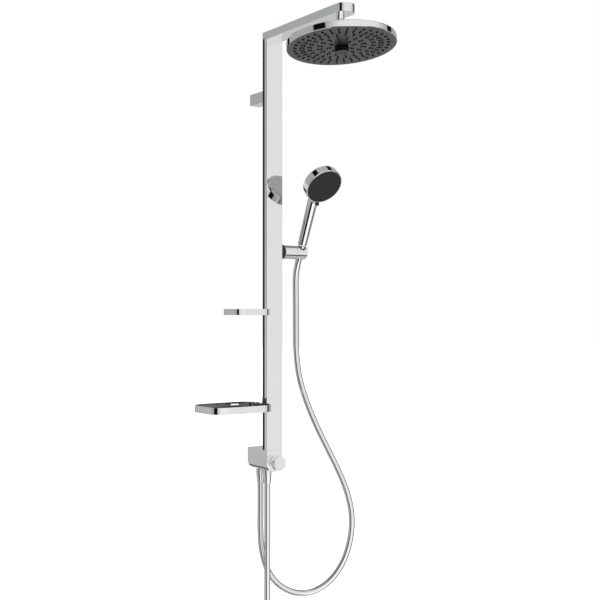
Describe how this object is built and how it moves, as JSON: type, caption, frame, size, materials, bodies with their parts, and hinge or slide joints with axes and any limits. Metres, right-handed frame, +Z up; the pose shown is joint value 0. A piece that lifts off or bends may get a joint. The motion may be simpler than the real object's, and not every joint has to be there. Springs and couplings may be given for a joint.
{
  "type": "shower column",
  "caption": "Wall shower column: flat polished bar and arm with a round tilting rain head, hand shower on a sliding holder, hose, shelf and basket in a side groove, diverter with knob below.",
  "frame": {"origin": "centre of the diverter body's back face, on the wall, at the height of the diverter knob's axis", "axes": "+X to the right seen from the room, +Y into the wall, +Z up"},
  "size_m": [0.4018, 0.4875, 1.4407],
  "materials": {
    "chrome": "mirror polished chrome plate",
    "clamp_metal": "dark satin metal",
    "groove_plastic": "black satin plastic",
    "brass": "plain brass",
    "steel": "plain stainless steel",
    "washer_rubber": "black rubber",
    "hose_metal": "smooth silver hose",
    "spray_face": "dark grey satin",
    "hand_spray_face": "very dark grey satin",
    "nozzle_rubber": "black silicone",
    "tray_plastic": "dark grey satin"
  },
  "bodies": {
    "column": {"column_profile": "chrome", "groove_liner_left": "groove_plastic", "groove_liner_right": "groove_plastic", "groove_end_plugs": "groove_plastic", "riser_tube": "brass", "arm_profile": "chrome", "arm_tube": "brass", "bracket_body": "chrome", "bracket_wall_plate": "steel", "bracket_grub_screw": "steel", "diverter_body": "chrome", "lower_wall_plate": "steel", "diverter_cartridge": "brass", "knob_collar": "chrome", "inlet_nipple": "chrome", "outlet_nipple": "chrome", "hose_washers": "washer_rubber", "inlet_hose_nut": "chrome", "outlet_hose_nut": "chrome", "inlet_hose": "hose_metal", "inlet_end_ferrule": "chrome", "inlet_end_nut": "brass", "hand_hose_drop": "hose_metal", "hand_hose_rise": "hose_metal", "ball_stem": "chrome", "stem_flange": "chrome"},
    "diverter_knob": {"knob": "chrome", "cartridge_stem": "steel", "knob_grub_screw": "steel"},
    "slider": {"slider_body": "chrome", "slider_pad": "groove_plastic", "slider_foot": "groove_plastic", "slider_pin": "steel", "hand_hose_mid": "hose_metal"},
    "holder": {"cradle": "chrome", "cradle_bush": "groove_plastic", "hand_hose_top": "hose_metal"},
    "hose_end": {"hand_hose_cone": "chrome"},
    "hand_shower": {"handset_body": "chrome", "handset_face": "hand_spray_face", "handset_nozzles": "nozzle_rubber"},
    "selector": {"selector_button": "hand_spray_face"},
    "swivel_seat": {"swivel_ring": "washer_rubber"},
    "swivel_collar": {"swivel_nut": "chrome"},
    "rain_head": {"rain_head_shell": "chrome", "rain_face_plate": "spray_face", "rain_nozzles": "nozzle_rubber", "rain_centre_cap": "spray_face"},
    "shelf": {"shelf_ring": "chrome", "shelf_tray": "tray_plastic", "shelf_clamp": "clamp_metal", "shelf_screw": "steel"},
    "basket": {"basket_ring": "chrome", "basket_clamp": "clamp_metal", "basket_screw": "steel"},
    "basket_floor": {"basket_tray": "tray_plastic"}
  },
  "joints": [
    {"name": "knob_turn", "type": "hinge", "parent": "column", "child": "diverter_knob", "pos_m": [0, -0.1, 0], "axis": [0, -1, 0], "range_deg": [-90, 90]},
    {"name": "slider_slide", "type": "slide", "parent": "column", "child": "slider", "axis": [0, 0, 1], "range_m": [-0.32, 0.36], "deforming": ["hand_hose_rise"]},
    {"name": "cradle_tilt", "type": "hinge", "parent": "slider", "child": "holder", "pos_m": [0.08, -0.0802, 0.521], "axis": [1, 0, 0], "range_deg": [-23.3, 20], "deforming": ["hand_hose_mid"]},
    {"name": "handset_lift", "type": "slide", "parent": "holder", "child": "hose_end", "axis": [0, -0.3955, 0.9184], "range_m": [0, 0.036], "deforming": ["hand_hose_top"]},
    {"name": "handset_spin", "type": "hinge", "parent": "hose_end", "child": "hand_shower", "pos_m": [0.0815, -0.0835, 0.521], "axis": [0, -0.3955, 0.9184], "continuous": true},
    {"name": "selector_press", "type": "slide", "parent": "hand_shower", "child": "selector", "axis": [0, 0.9184, 0.3955], "range_m": [0, 0.0025], "stiffness_N_per_m": 400, "springref_m": -0.001},
    {"name": "head_tilt_front", "type": "hinge", "parent": "column", "child": "swivel_seat", "pos_m": [0, -0.3577, 1.018], "axis": [1, 0, 0], "range_deg": [-8.15, 21.85]},
    {"name": "head_tilt_side", "type": "hinge", "parent": "swivel_seat", "child": "swivel_collar", "pos_m": [0, -0.3577, 1.018], "axis": [0, 0.9929, -0.1193], "range_deg": [-15, 15]},
    {"name": "head_spin", "type": "hinge", "parent": "swivel_collar", "child": "rain_head", "pos_m": [0, -0.3577, 1.018], "axis": [0, 0.1193, 0.9929], "continuous": true},
    {"name": "shelf_slide", "type": "slide", "parent": "column", "child": "shelf", "axis": [0, 0, 1], "range_m": [-0.12, 0.45]},
    {"name": "basket_slide", "type": "slide", "parent": "column", "child": "basket", "axis": [0, 0, 1], "range_m": [-0.07, 0.07]},
    {"name": "basket_floor_lift", "type": "slide", "parent": "basket", "child": "basket_floor", "axis": [0, 0, 1], "range_m": [0, 0.05]}
  ]
}
